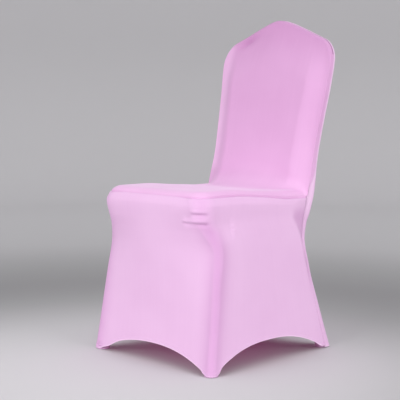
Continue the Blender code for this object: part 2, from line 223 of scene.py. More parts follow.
def arch_height(arch, along):
    return arch.rise * (1.0 - clamp01(abs(along - arch.middle) / arch.half_span) ** arch.power)


def crown_height(x):
    """The height of the back's top at this distance from its middle: a peak, a slope and a shoulder."""
    edge = REAR_LEVELS[-1].corner_x
    slope_angle = math.atan(CROWN_SLOPE)
    arc_middle = edge - SHOULDER_ROUND
    if x > arc_middle + SHOULDER_ROUND * math.sin(slope_angle):
        reach = min(x - arc_middle, SHOULDER_ROUND)
        return SHOULDER_START + math.sqrt(SHOULDER_ROUND**2 - reach**2)
    return CROWN_TOP - CROWN_SLOPE * (math.hypot(x, CROWN_PEAK_SOFTNESS) - CROWN_PEAK_SOFTNESS)


def crown_point(t):
    """A point on the crown's outline, from the peak at 0 to the shoulder at 1, and the way out there."""
    edge = REAR_LEVELS[-1].corner_x
    x = edge * math.sin(t * math.pi / 2)
    step = 1e-4
    inner = max(x - step, 0.0)
    outer = min(x + step, edge)
    along = Vector((outer - inner, crown_height(outer) - crown_height(inner)))
    if t == 0.0:
        along = Vector((1.0, 0.0))
    if t == 1.0:
        along = Vector((0.0, -1.0))
    along.normalize()
    return Vector((x, crown_height(x))), Vector((-along.y, along.x))


def on_arch(tongue, distance):
    """1 on the arch, 0 where the hem has run down round a foot, by the distance from the foot's corner."""
    return smoothstep((distance - tongue.down_at) / (tongue.down_from - tongue.down_at))


def hem_height(arch, along):
    return TONGUE_END + max(arch_height(arch, along) - TONGUE_END, 0.0)

# %% [markdown]
# ## The skirt as a surface
# Two numbers place a point of the skirt: `t` goes round it, from the middle of the front to the seam at the
# rear leg, and a distance down from the seat's seam. Rows lie close together at the seam and at the hem,
# where the cloth turns.

# %% The outline at one level
FRONT_SHARE = 0.36
CORNER_SHARE = 0.22
SIDE_SHARE = 0.32
ARC_HANDLE = 0.5523
CORNER_T = FRONT_SHARE + CORNER_SHARE / 2
RIDGE_T = FRONT_SHARE + CORNER_SHARE + SIDE_SHARE


def skirt_outline(level, t):
    """A point on the skirt's outline at one level, from the front's middle at 0 to the rear seam at 1."""
    corner = Vector((level.corner_x, level.corner_y))
    ridge = Vector((level.ridge_x, level.ridge_y))
    bow = level.side_x - (level.corner_x + level.ridge_x) / 2

    def front(s):
        return Vector((corner.x * s, level.front_y + (corner.y - level.front_y) * s * s))

    def side(s):
        return corner.lerp(ridge, s) + Vector((bow * 4 * s * (1 - s), 0.0))

    front_end = 1 - level.corner_round / corner.x
    side_start = level.corner_round / (ridge - corner).length
    if t < FRONT_SHARE:
        return front(front_end * t / FRONT_SHARE)
    t -= FRONT_SHARE
    if t < CORNER_SHARE:
        s = t / CORNER_SHARE
        start, end = front(front_end), side(side_start)
        from_start = start.lerp(corner, ARC_HANDLE)
        from_end = end.lerp(corner, ARC_HANDLE)
        return (
            start * (1 - s) ** 3
            + from_start * 3 * s * (1 - s) ** 2
            + from_end * 3 * s * s * (1 - s)
            + end * s**3
        )
    t -= CORNER_SHARE
    if t < SIDE_SHARE:
        return side(side_start + (1 - side_start) * t / SIDE_SHARE)
    s = (t - SIDE_SHARE) / (1 - RIDGE_T)
    return ridge.lerp(Vector((level.seam_x, level.seam_y)), s)


def skirt_hem_height(t):
    foot = SKIRT_LEVELS[0]
    point = skirt_outline(foot, t)
    if t < CORNER_T:
        arch = hem_height(FRONT_ARCH, point.x)
    else:
        arch = hem_height(SIDE_ARCH, point.y)
    front_foot = Vector((foot.corner_x - FOOT_INSET, foot.corner_y + FOOT_INSET))
    rear_foot = Vector((REAR_LEVELS[0].corner_x, REAR_LEVELS[0].corner_y - FOOT_ROUND / 2))
    from_foot = (point - front_foot).length
    lifted = on_arch(FRONT_TONGUE, from_foot) * on_arch(REAR_TONGUE, (point - rear_foot).length)
    rounded = TONGUE_CURVE * clamp01(from_foot / FRONT_TONGUE.down_at) ** 3 * (1 - lifted)
    return TONGUE_END + rounded + (arch - TONGUE_END) * lifted

# %% The skirt from its seam to its hem
SKIRT_COLUMNS = 150
CUSHION_ROWS = 66
LEG_ROWS = 34
HEM_ROWS = 12
HEM_DEPTH = 0.010
HEM_STEP = 0.0012
ROWS_NEAR_SEAM = 1.15


def skirt_point(t, v):
    """The skirt, from the seat's seam at v = 0 to its hem at v = 1."""
    row = round(v * (CUSHION_ROWS + LEG_ROWS + HEM_ROWS))
    seam_level = SKIRT_LEVELS[-1]
    hem = skirt_hem_height(t)
    if row <= CUSHION_ROWS:
        drop = (row / CUSHION_ROWS) ** ROWS_NEAR_SEAM
        top = between_rows(SEAT_SEAM, skirt_outline(seam_level, t).y).height - SEW_GAP
        height = top + (WAIST_HEIGHT - top) * drop
        past_ridge = clamp01((t - RIDGE_T) / (1 - RIDGE_T))
        outline_height = height + (seam_level.height - top) * (1 - drop) * (1 - past_ridge)
    else:
        hem_zone = hem + HEM_ROWS * HEM_STEP
        if row <= CUSHION_ROWS + LEG_ROWS:
            height = WAIST_HEIGHT + (hem_zone - WAIST_HEIGHT) * (row - CUSHION_ROWS) / LEG_ROWS
        else:
            height = hem_zone - HEM_STEP * (row - CUSHION_ROWS - LEG_ROWS)
        outline_height = height
    outline = skirt_outline(between_rows(SKIRT_LEVELS, outline_height), t)
    return Vector((outline.x, outline.y, height))


# %% [markdown]
# ## The outside back as a surface
# This panel is nearly flat. It turns forward over the back's padded edges and over the crown, to a seam
# that runs near the rear edge. Below the seat the seam moves forward to the inner side of the rear legs.

# %% Places on the outside back
REAR_COLUMNS = 40
REAR_ROWS = 110
CROWN_LIFT_POWER = 4
STRIP_START = 0.445
STRIP_BLEND = 0.060
SEAM_FROM_ROUND = 0.0015


def rear_hem_height(x):
    foot_x = REAR_LEVELS[0].corner_x - FOOT_INSET
    lifted = on_arch(FRONT_TONGUE, abs(foot_x - x))
    return TONGUE_END + (hem_height(REAR_ARCH, x) - TONGUE_END) * lifted


def rear_row(t, v):
    """A place on the outside back seen flat, hem at v = 0 and crown at 1, and the way out of its edge."""
    if v == 1.0:
        return crown_point(t)
    spread = math.sin(t * math.pi / 2)
    hem = rear_hem_height(REAR_LEVELS[0].corner_x * spread)
    row = round(v * (HEM_ROWS + REAR_ROWS))
    hem_zone = hem + HEM_ROWS * HEM_STEP
    if row <= HEM_ROWS:
        height = hem + HEM_STEP * row
    else:
        share = (row - HEM_ROWS) / REAR_ROWS
        over_shoulder = crown_height(REAR_LEVELS[-1].corner_x * spread) - SHOULDER_START
        height = hem_zone + (SHOULDER_START - hem_zone) * share + over_shoulder * share**CROWN_LIFT_POWER
    return Vector((between_rows(REAR_LEVELS, height).corner_x * spread, height)), Vector((1.0, 0.0))


def rear_point(t, v):
    """The flat of the outside back, whose edges stop short of the outline by the roundness of the edge."""
    place, outward = rear_row(t, v)
    level = between_rows(REAR_LEVELS, place.y)
    share = place.x / level.corner_x
    if t == 1.0 or v == 1.0:
        place = place - outward * level.corner_round
    else:
        place.x *= 1 - level.corner_round / level.corner_x
        place.y -= level.corner_round * v**CROWN_LIFT_POWER
    hollow = level.middle_y - level.corner_y
    return Vector((place.x, level.corner_y + hollow * (1 - share**2) ** 2, place.y))


def wrap_share(height):
    """0 below the seat, where the seam runs on the legs, and 1 where the inside panel wraps the side."""
    return smoothstep((height - STRIP_START) / STRIP_BLEND)


def side_seam_y(height):
    """How far back the seam runs between the inside back, or the skirt, and the outside back."""
    level = between_rows(REAR_LEVELS, height)
    wrapped = level.corner_y - level.corner_round - SEAM_FROM_ROUND
    return level.seam_y + (wrapped - level.seam_y) * wrap_share(height)


def edge_point(t, v, turn):
    """A point on the outside back's edge, turned forward through this angle, or at its seam for None."""
    place, outward = rear_row(t, v)
    level = between_rows(REAR_LEVELS, place.y)
    if turn is None:
        return Vector((place.x + level.seam_x - level.corner_x, side_seam_y(place.y) + SEW_GAP, place.y))
    place = place - outward * level.corner_round * (1 - math.sin(turn))
    return Vector((place.x, level.corner_y - level.corner_round * (1 - math.cos(turn)), place.y))


# %% [markdown]
# ## The inside back and the seat as one surface
# The panel starts at the front edge of the seat, crosses the cushion, turns up in a round lap and climbs
# the padded back to the crown. The pad stands proud inside a soft bevel.

# %% Places on the inside back and the seat
SEAT_BACK_COLUMNS = 60
SEAT_ARC_ROWS = 18
SEAT_ROWS = 62
LAP_ROWS = 24
BACK_ROWS = 92


def back_seam_y(height):
    return between_rows(REAR_LEVELS, height).seam_y


def skirt_outline_side_x(y):
    """The side of the skirt's top outline at this depth."""
    level = SKIRT_LEVELS[-1]
    share = clamp01((y - level.corner_y) / (level.ridge_y - level.corner_y))
    bow = level.side_x - (level.corner_x + level.ridge_x) / 2
    return level.corner_x + (level.ridge_x - level.corner_x) * share + bow * 4 * share * (1 - share)


def seat_half_width(y):
    """Half the seat's width at its seam, drawn in round the front corner."""
    full = skirt_outline_side_x(y)
    depth = min(y - SEAT_FRONT_Y, SEAT_CORNER_ROUND)
    return full - SEAT_CORNER_ROUND + math.sqrt(SEAT_CORNER_ROUND**2 - (SEAT_CORNER_ROUND - depth) ** 2)


def seat_height(x, y):
    """The top of the seat: the seam's height, and the soft crown that the padding gives it."""
    straight = SEAT_CORNER_X - SEAT_CORNER_ROUND
    past = max(x - straight, 0.0)
    front_edge = SEAT_FRONT_Y + SEAT_CORNER_ROUND - math.sqrt(max(SEAT_CORNER_ROUND**2 - past**2, 0.0))
    from_front = rounded_rise((y - front_edge) / SEAT_CROWN_REACH)
    from_side = rounded_rise((seat_half_width(y) - x) / SEAT_CROWN_REACH)
    crown = SEAT_CROWN + SEAT_CROWN_REAR * smoothstep(y / LAP_Y)
    return between_rows(SEAT_SEAM, y).height + crown * from_front * from_side


def inside_back_y(height, from_side, from_crown=1.0):
    """The inside of the back: its seam line, and the pad that stands proud of it inside a soft bevel."""
    rise = smoothstep(from_side / PAD_BEVEL) * smoothstep(from_crown / PAD_CROWN_BEVEL)
    return back_seam_y(height) - PAD_PROUD * rise


def seat_back_point(t, v):
    """The inside back and seat, from the seat's front seam at v = 0 to the crown at v = 1."""
    rows = SEAT_ROWS + LAP_ROWS + BACK_ROWS
    spread = math.sin(t * math.pi / 2)
    lap_round = LAP_ROUND_MIDDLE + (LAP_ROUND_EDGE - LAP_ROUND_MIDDLE) * spread**2
    lap_height = seat_height(seat_half_width(LAP_Y) * spread, LAP_Y)
    lap_x = between_rows(REAR_LEVELS, lap_height).corner_x * spread
    lap_y = inside_back_y(lap_height, between_rows(REAR_LEVELS, lap_height).corner_x - lap_x)
    seat_end = lap_y - lap_round
    row = round(v * rows)
    if row <= SEAT_ROWS:
        if row <= SEAT_ARC_ROWS:
            y = SEAT_FRONT_Y + SEAT_CORNER_ROUND * (1 - math.cos(math.pi / 2 * row / SEAT_ARC_ROWS))
        else:
            share = (row - SEAT_ARC_ROWS) / (SEAT_ROWS - SEAT_ARC_ROWS)
            y = SEAT_FRONT_Y + SEAT_CORNER_ROUND + (seat_end - SEAT_FRONT_Y - SEAT_CORNER_ROUND) * share
        x = seat_half_width(y) * spread
        return Vector((x, y, seat_height(x, y)))
    back_start = lap_height + lap_round
    if row <= SEAT_ROWS + LAP_ROWS:
        s = (row - SEAT_ROWS) / LAP_ROWS
        seat_x = seat_half_width(seat_end) * spread
        start = Vector((seat_x, seat_end, seat_height(seat_x, seat_end)))
        width = between_rows(REAR_LEVELS, back_start).corner_x
        end = Vector((width * spread, inside_back_y(back_start, width * (1 - spread)), back_start))
        knee = Vector((lap_x, lap_y, lap_height))
        return start * (1 - s) ** 2 + knee * 2 * s * (1 - s) + end * s * s
    s = (row - SEAT_ROWS - LAP_ROWS) / BACK_ROWS
    over_shoulder = crown_height(REAR_LEVELS[-1].corner_x * spread) - SHOULDER_START
    height = back_start + (SHOULDER_START - back_start) * s + over_shoulder * s**CROWN_LIFT_POWER
    width = between_rows(REAR_LEVELS, height).corner_x
    x = width * spread
    from_crown = (crown_height(x) - height) * math.cos(math.atan(CROWN_SLOPE))
    return Vector((x, inside_back_y(height, width - x, from_crown), height))


# %% [markdown]
# ## Making a panel
# Each panel starts as a bmesh grid, whose vertices go to their places on the surface. Small features, such
# as the sunken seam, the turned hem and the folds, are then pushed in or out along each vertex's normal. A
# Solidify modifier gives the knit its thickness on the inner side, and puts a second material there.

# %% Helpers for a panel
PANEL_UV = "cloth"
# The vertex mark that carries painted light and shade into the knit's colour: over 0 for painted shade, under
# 0 for a painted highlight.
PAINTED_LIGHT_LAYER = "painted_light"
UP = Vector((0, 0, 1))


def fine_grid(columns, rows, place):
    """Half a panel: a grid whose two directions run from 0 to 1, each vertex put in its place."""
    bm = bmesh.new()
    bm.verts.layers.float.new(PAINTED_LIGHT_LAYER)
    bm.loops.layers.uv.new(PANEL_UV)
    bmesh.ops.create_grid(bm, x_segments=columns, y_segments=rows, size=0.5)
    across = {vert: (round(vert.co.x + 0.5, 6), round(vert.co.y + 0.5, 6)) for vert in bm.verts}
    for vert, (t, v) in across.items():
        vert.co = place(t, v)
    return bm, across


def carry_edges(bm, ring, edges, steps, place):
    """Extrudes a border step by step, puts each vertex in its place, and returns the new vertices."""
    added = {}
    for step in steps:
        made = bmesh.ops.extrude_edge_only(bm, edges=edges)["geom"]
        fresh = {item for item in made if isinstance(item, bmesh.types.BMVert)}
        made_edges = [item for item in made if isinstance(item, bmesh.types.BMEdge)]
        edges = [edge for edge in made_edges if fresh.issuperset(edge.verts)]
        carried = {}
        for vert in fresh:
            neighbours = [edge.other_vert(vert) for edge in vert.link_edges]
            source = next(other for other in neighbours if other in ring)
            carried[vert] = ring[source]
            vert.co = place(*ring[source], step)
        ring = carried
        added.update(carried)
    return added


def border_edges(bm, ring):
    """The edges of the panel's border that run between these vertices."""
    return [edge for edge in bm.edges if edge.is_boundary and all(vert in ring for vert in edge.verts)]


def face_outwards(bm, near, outward):
    """Turns all faces the same way, so that the one nearest this point looks outwards."""
    bmesh.ops.recalc_face_normals(bm, faces=bm.faces)
    nearest = min(bm.faces, key=lambda face: (face.calc_center_median() - near).length)
    if nearest.normal.dot(outward) < 0:
        bmesh.ops.reverse_faces(bm, faces=bm.faces)
    bm.normal_update()


def push(bm, depth_at):
    """Moves each vertex along its normal by depth_at(vertex), and keeps the middle line in the middle."""
    bm.normal_update()
    moves = {}
    for vert in bm.verts:
        depth = depth_at(vert)
        if depth:
            normal = vert.normal.copy()
            if abs(vert.co.x) < 1e-6:
                normal.x = 0.0
            moves[vert] = normal * depth
    for vert, move in moves.items():
        vert.co += move
    return len(moves)


def mirror_half(bm):
    """Adds the other half of a panel, across the plane x = 0."""
    bmesh.ops.mirror(bm, geom=bm.verts[:] + bm.edges[:] + bm.faces[:], merge_dist=0.0001, axis="X")
    bmesh.ops.remove_doubles(bm, verts=bm.verts, dist=0.00001)


def mark_painted_light(bm, value_at):
    """Stores each vertex's painted light and shade: 1 for a full painted shade, more in a seam, under 0 for a
    painted highlight.
    """
    layer = bm.verts.layers.float.get(PAINTED_LIGHT_LAYER) or bm.verts.layers.float.new(PAINTED_LIGHT_LAYER)
    for vert in bm.verts:
        vert[layer] = value_at(vert)


def cloth_uv(bm, across_at):
    """A UV map in metres of cloth, so that the knit follows the panel as it stretches."""
    layer = bm.loops.layers.uv.get(PANEL_UV) or bm.loops.layers.uv.new(PANEL_UV)
    for face in bm.faces:
        for loop in face.loops:
            loop[layer].uv = across_at(loop.vert)


def finish_cloth(name, bm, outer, inner):
    """The panel as an object at the origin, with its thickness and its two materials."""
    bmesh.ops.translate(bm, verts=bm.verts, vec=-CROWN_HOLD)
    mesh = bpy.data.meshes.new(name)
    bm.to_mesh(mesh)
    bm.free()
    mesh.shade_smooth()
    mesh.materials.append(outer)
    mesh.materials.append(inner)
    piece = bpy.data.objects.new(name, mesh)
    bpy.context.scene.collection.objects.link(piece)
    thickness = piece.modifiers.new("cloth thickness", "SOLIDIFY")
    thickness.thickness = CLOTH
    thickness.offset = -1.0
    thickness.material_offset = 1
    print(f"{name}: {len(mesh.polygons)} faces, {sum(p.area for p in mesh.polygons):.3f} square metres")
    return piece


# %% [markdown]
# ## The stretch knit
# Nylon or polyester with elastane, knitted fine and even: rows of loops well under a millimetre across,
# which break up the highlight and give the cloth its soft sheen at a glancing angle. Its colour carries
# painted light and shade: a little deeper over a leg or a pad, where no light gets through, and paler where
# it hangs free and light gets through, with painted shade in its seams, hollows and puckers and painted
# highlights on the seat, one edge and the hems.

# %% A group for the knitted loops
LOOP_WIDTH = 0.0007
LOOP_HEIGHT = 0.0005
LOOP_ARCH = 0.8
WALE_SHARE = 0.3
COURSE_SHARE = 0.2


def new_group(name, inputs, outputs):
    group = bpy.data.node_groups.new(name, "ShaderNodeTree")
    for socket_name, kind, default in inputs:
        socket = group.interface.new_socket(name=socket_name, in_out="INPUT", socket_type=kind)
        if default is not None:
            socket.default_value = default
    for socket_name, kind in outputs:
        group.interface.new_socket(name=socket_name, in_out="OUTPUT", socket_type=kind)
    start, end = group.nodes.new("NodeGroupInput"), group.nodes.new("NodeGroupOutput")
    return group, start, end


def maths(tree, operation, first, second):
    """A Math node: each input is a socket or a number."""
    node = tree.nodes.new("ShaderNodeMath")
    node.operation = operation
    for socket, value in zip(node.inputs, (first, second)):
        if isinstance(value, (int, float)):
            socket.default_value = value
        else:
            tree.links.new(value, socket)
    return node.outputs[0]


def build_knit_group():
    """Loops of a plain knit as a height from 0 to 1: wales side by side, each a chain of little arches."""
    group, start, end = new_group(
        "knit_loops",
        [("Cloth", "NodeSocketVector", None)],
        [("Height", "NodeSocketFloat")],
    )
    parts = group.nodes.new("ShaderNodeSeparateXYZ")
    group.links.new(start.outputs["Cloth"], parts.inputs[0])
    wale_turn = maths(group, "MULTIPLY", parts.outputs["X"], 2 * math.pi / LOOP_WIDTH)
    wale = maths(group, "COSINE", wale_turn, 0.0)
    arch = maths(group, "MULTIPLY", wale, LOOP_ARCH)
    course_turn = maths(group, "MULTIPLY", parts.outputs["Y"], 2 * math.pi / LOOP_HEIGHT)
    course = maths(group, "SINE", maths(group, "ADD", course_turn, arch), 0.0)
    wales = maths(group, "MULTIPLY", wale, WALE_SHARE)
    courses = maths(group, "MULTIPLY", course, COURSE_SHARE)
    height = maths(group, "ADD", maths(group, "ADD", wales, courses), 0.5)
    group.links.new(height, end.inputs["Height"])
    return group


knit_loops = build_knit_group()
print("group:", knit_loops.name)

# %% A group for the knit's uneven tone, with its painted light and shade
PATCH_SCALE = 7.0
PATCH_AMOUNT = 0.5
STREAK_SCALE = (160.0, 4.0, 1.0)
STREAK_AMOUNT = 0.16


def build_tone_group():
    """Broad, faint patches and faint streaks along the wales, and the painted light and shade, mixed between
    a deep and a pale tone.
    """
    group, start, end = new_group(
        "tone_and_painted_light",
        [
            ("Place", "NodeSocketVector", None),
            ("Cloth", "NodeSocketVector", None),
            ("Pale", "NodeSocketColor", (1, 1, 1, 1)),
            ("Deep", "NodeSocketColor", (1, 1, 1, 1)),
            ("Painted Light", "NodeSocketFloat", 0.0),
        ],
        [("Color", "NodeSocketColor")],
    )
    patches = group.nodes.new("ShaderNodeTexNoise")
    patches.inputs["Scale"].default_value = PATCH_SCALE
    patches.inputs["Detail"].default_value = 2.0
    group.links.new(start.outputs["Place"], patches.inputs["Vector"])
    squeeze = group.nodes.new("ShaderNodeMapping")
    squeeze.inputs["Scale"].default_value = STREAK_SCALE
    group.links.new(start.outputs["Cloth"], squeeze.inputs["Vector"])
    streaks = group.nodes.new("ShaderNodeTexNoise")
    streaks.inputs["Scale"].default_value = 1.0
    group.links.new(squeeze.outputs["Vector"], streaks.inputs["Vector"])
    patchy = maths(group, "MULTIPLY", maths(group, "SUBTRACT", patches.outputs["Fac"], 0.5), PATCH_AMOUNT)
    streaky = maths(group, "MULTIPLY", maths(group, "SUBTRACT", streaks.outputs["Fac"], 0.5), STREAK_AMOUNT)
    amount = maths(group, "ADD", maths(group, "ADD", patchy, streaky), start.outputs["Painted Light"])
    mix = group.nodes.new("ShaderNodeMix")
    mix.data_type = "RGBA"
    mix.clamp_factor = False
    group.links.new(amount, mix.inputs["Factor"])
    group.links.new(start.outputs["Pale"], mix.inputs[6])
    group.links.new(start.outputs["Deep"], mix.inputs[7])
    group.links.new(mix.outputs[2], end.inputs["Color"])
    return group


tone_and_painted_light = build_tone_group()
print("group:", tone_and_painted_light.name)

# %% The knit as a material
KNIT_ROUGHNESS = 0.62
SHEEN_WEIGHT = 0.35
SHEEN_ROUGHNESS = 0.35
SHEEN_TINT = (0.95, 0.93, 1.0, 1.0)
LOOP_BUMP = 0.25
LOOP_DEPTH = 0.00008


def knit_material(name, pale, deep):
    """Stretch knit: its tone follows the panel's own mark of painted light and shade, deeper for painted
    shade and paler for painted light.
    """
    material = bpy.data.materials.new(name)
    material.use_nodes = True
    tree = material.node_tree
    shader = tree.nodes["Principled BSDF"]
    place = tree.nodes.new("ShaderNodeTexCoord")
    cloth = tree.nodes.new("ShaderNodeUVMap")
    cloth.uv_map = PANEL_UV
    painted_light = tree.nodes.new("ShaderNodeAttribute")
    painted_light.attribute_name = PAINTED_LIGHT_LAYER
    tone = tree.nodes.new("ShaderNodeGroup")
    tone.node_tree = tone_and_painted_light
    tone.inputs["Pale"].default_value = pale
    tone.inputs["Deep"].default_value = deep
    tree.links.new(place.outputs["Object"], tone.inputs["Place"])
    tree.links.new(cloth.outputs["UV"], tone.inputs["Cloth"])
    tree.links.new(painted_light.outputs["Fac"], tone.inputs["Painted Light"])
    tree.links.new(tone.outputs["Color"], shader.inputs["Base Color"])
    loops = tree.nodes.new("ShaderNodeGroup")
    loops.node_tree = knit_loops
    tree.links.new(cloth.outputs["UV"], loops.inputs["Cloth"])
    bump = tree.nodes.new("ShaderNodeBump")
    bump.inputs["Strength"].default_value = LOOP_BUMP
    bump.inputs["Distance"].default_value = LOOP_DEPTH
    tree.links.new(loops.outputs["Height"], bump.inputs["Height"])
    tree.links.new(bump.outputs["Normal"], shader.inputs["Normal"])
    shader.inputs["Roughness"].default_value = KNIT_ROUGHNESS
    shader.inputs["Sheen Weight"].default_value = SHEEN_WEIGHT
    shader.inputs["Sheen Roughness"].default_value = SHEEN_ROUGHNESS
    shader.inputs["Sheen Tint"].default_value = SHEEN_TINT
    return material


# The skirt's pale tones against the back's deeper ones are painted light and shade: the free-hanging skirt
# lets light through, the cloth on the padded back doesn't.
SKIRT_PALE = (0.84, 0.53, 0.80, 1.0)
SKIRT_DEEP = (0.70, 0.38, 0.66, 1.0)
BACK_PALE = (0.80, 0.45, 0.74, 1.0)
BACK_DEEP = (0.66, 0.32, 0.60, 1.0)
# The outside back's pale tone is a painted sheen for its pale rim.
RIM_PAINTED_SHEEN = (0.87, 0.58, 0.83, 1.0)
# The inner side's dark tones are painted shade, for the shade inside the cover and the tinted light that
# bounces there.
INSIDE_PAINTED_SHADE_PALE = (0.55, 0.17, 0.42, 1.0)
INSIDE_PAINTED_SHADE_DEEP = (0.42, 0.10, 0.30, 1.0)
skirt_knit = knit_material("skirt_knit", SKIRT_PALE, SKIRT_DEEP)
back_knit = knit_material("back_knit", BACK_PALE, BACK_DEEP)
outside_knit_painted_sheen = knit_material("outside_knit_painted_sheen", RIM_PAINTED_SHEEN, SKIRT_DEEP)
inner_knit_painted_shade = knit_material("inner_knit_painted_shade", INSIDE_PAINTED_SHADE_PALE, INSIDE_PAINTED_SHADE_DEEP)

# %% [markdown]
# ## Seams and hems
# An overlocked seam in stretch knit pulls in: both panels sink by 2 or 3 millimetres towards it. At the
# seat's edge they also turn over the cushion's soft edge together. The hem is turned up once, so its last
# centimetre is two layers thick, with a row of stitches sunk in along its top.

# %% How far a feature stands in or out
SEAM_DIP = 0.0028
# SEAM_SHADE is painted shade in the sunken seams; SEAM_SHADE_WIDTH is how far it reaches.
SEAM_SHADE = 1.7
SEAM_DIP_WIDTH = 0.0022
SEAM_SHADE_WIDTH = 0.0030
EDGE_ROLL = 0.0024
EDGE_ROLL_REACH = 0.011
HEM_LAYER = 0.0004
HEM_STITCH_DIP = 0.0006
HEM_STITCH_WIDTH = 0.0011
HEM_LAYER_BLEND = 0.0015
Blend = namedtuple("Blend", "amount start width")


def blended(blend, position):
    """Nothing before the start, all of it one width further on; a negative width runs the other way."""
    return blend.amount * smoothstep((position - blend.start) / blend.width)


def seam_dip(distance):
    return -SEAM_DIP * bell(distance, SEAM_DIP_WIDTH)


def edge_roll(distance):
    return EDGE_ROLL * (1 - clamp01(distance / EDGE_ROLL_REACH)) ** 2


def hem_relief(distance):
    """The turned-up hem, at this distance from its edge: second layer, stitches and rolled edge."""
    layer = HEM_LAYER * smoothstep((HEM_DEPTH + HEM_LAYER_BLEND - distance) / HEM_LAYER_BLEND)
    stitches = -HEM_STITCH_DIP * bell(distance - HEM_DEPTH, HEM_STITCH_WIDTH)
    rolled = -HEM_LAYER * (1 - clamp01(distance / (2 * HEM_STEP))) ** 2
    return layer + stitches + rolled


def turn_hem(bm, hem_distance):
    """Pushes the turned-up hem out, by each vertex's distance from the hem's edge."""
    push(bm, lambda vert: hem_relief(hem_distance[vert]) if hem_distance[vert] < 2 * HEM_DEPTH else 0.0)


# %% [markdown]
# ## Inside back and seat
# One long panel, tight over the pads. At the back's sides and over the crown it wraps round to the seam
# near the rear edge, so its edge is extruded backwards in small steps.

# %% Make the inside back and seat
bm, across = fine_grid(SEAT_BACK_COLUMNS, SEAT_ROWS + LAP_ROWS + BACK_ROWS, seat_back_point)
SEAT_END_V = (SEAT_ROWS + LAP_ROWS / 2) / (SEAT_ROWS + LAP_ROWS + BACK_ROWS)
WRAP_STEPS = (0.2, 0.4, 0.6, 0.72, 0.82, 0.90, 0.95, 1.0)
ON_SEAT = Vector((0.02, 0.0, 0.46))


def wrapped_point(t, v, share):
    """The strip that wraps the back's side and crown, from the pad's edge at 0 to the seam at 1."""
    start = seat_back_point(t, v)
    seam_y = max(side_seam_y(start.z), start.y)
    return Vector((start.x, start.y + (seam_y - start.y) * share, start.z))


edge_ring = {}
for vert, (t, v) in across.items():
    if v == 1.0 or (t == 1.0 and v > SEAT_END_V):
        edge_ring[vert] = (t, v)
edges = border_edges(bm, edge_ring)
across.update(carry_edges(bm, edge_ring, edges, WRAP_STEPS, wrapped_point))
face_outwards(bm, ON_SEAT, UP)


def seat_edge_distance(point):
    """From a point on the seat to its seam, and the level direction from the seat out through that seam."""
    straight = SEAT_CORNER_X - SEAT_CORNER_ROUND
    corner_y = SEAT_FRONT_Y + SEAT_CORNER_ROUND
    if point.x > straight and point.y < corner_y:
        out = Vector((point.x - straight, point.y - corner_y, 0.0))
        return max(SEAT_CORNER_ROUND - out.length, 0.0), out.normalized()
    from_front = point.y - SEAT_FRONT_Y
    from_side = seat_half_width(point.y) - point.x
    if from_side < from_front:
        return max(from_side, 0.0), Vector((1.0, 0.0, 0.0))
    return max(from_front, 0.0), Vector((0.0, -1.0, 0.0))


SEAM_LEAST_PULL = 0.12
SEAM_SIDE_PULL = Blend(0.88, 0.10, 0.07)


def seam_strength(point):
    """The seat's seam pulls in hard at the sides and the front corners, and little along the front edge."""
    return SEAM_LEAST_PULL + blended(SEAM_SIDE_PULL, abs(point.x))


def at_seam(distance, point):
    """How much painted shade the seat's seam gets, at this distance from it."""
    return SEAM_SHADE * bell(distance, SEAM_SHADE_WIDTH) * seam_strength(point)


SEAT_V = SEAT_ROWS / (SEAT_ROWS + LAP_ROWS + BACK_ROWS)
for vert, (t, v) in across.items():
    if v < SEAT_END_V:
        distance, out = seat_edge_distance(vert.co)
        before_lap = 1 - smoothstep((v - SEAT_V) / (SEAT_END_V - SEAT_V))
        sunk = edge_roll(distance) - seam_dip(distance) * seam_strength(vert.co)
        vert.co -= (out + UP).normalized() * sunk * before_lap
mirror_half(bm)
face_outwards(bm, ON_SEAT, UP)
print("inside back and seat:", len(bm.verts), "vertices")

# %% [markdown]
# The pad's shoulders are not quite full: on one of them the knit bridges a soft hollow, and on the other a
# faint one. The panel's colour carries painted shade, deeper towards the crown, in its seams and in the
# hollows, and painted light on the seat and along one side edge.

# %% Dents of the inside back, and its painted light and shade
Dent = namedtuple("Dent", "x z width height depth tilt")
BACK_DENTS = (
    Dent(-0.118, 0.872, 0.034, 0.011, 0.0080, -0.42),
    Dent(0.060, 0.862, 0.014, 0.014, 0.0012, 0.0),
)
DENTS_FROM_Z = 0.6
DENT_SHADE = 70.0
CROWN_SEAM_DIP = 0.0016
CROWN_SEAM_WIDTH = 0.0026
CROWN_SEAM_SHADE = 2.2
CROWN_SEAM_FROM_Z = SHOULDER_START + 0.02
# Painted light and shade of the inside back: shade deeper towards the crown, light on the seat and along one
# side edge.
PAINTED_SHADE_TO_CROWN = (Blend(0.35, 0.47, 0.25), Blend(0.45, 0.76, 0.14))
PAINTED_LIGHT_ON_SEAT = Blend(0.30, 0.49, -0.03)
PAINTED_LIGHT_ON_EDGE = Blend(0.8, -0.155, -0.035)
PAINTED_LIGHT_ON_EDGE_ABOVE = Blend(1.0, 0.47, 0.05)
SEAT_TOP_Z = 0.47


def dent_depth(dent, place):
    """How deep a dent is at this place, seen from the front."""
    along = (place.x - dent.x) * math.cos(dent.tilt) - (place.z - dent.z) * math.sin(dent.tilt)
    over = (place.x - dent.x) * math.sin(dent.tilt) + (place.z - dent.z) * math.cos(dent.tilt)
    return dent.depth * bell(along, dent.width) * bell(over, dent.height)


def back_dent(vert):
    if vert.co.z < DENTS_FROM_Z:
        return 0.0
    return -sum(dent_depth(dent, vert.co) for dent in BACK_DENTS)


def at_crown_seam(point):
    """1 on the seam over the crown, and soon 0 away from it."""
    if point.z < CROWN_SEAM_FROM_Z:
        return 0.0
    return bell(point.y - side_seam_y(point.z), CROWN_SEAM_WIDTH)


def seat_seam_shade(point):
    if point.z > SEAT_TOP_Z or point.y > LAP_Y:
        return 0.0
    distance = seat_edge_distance(Vector((abs(point.x), point.y, point.z)))[0]
    return at_seam(distance, point)


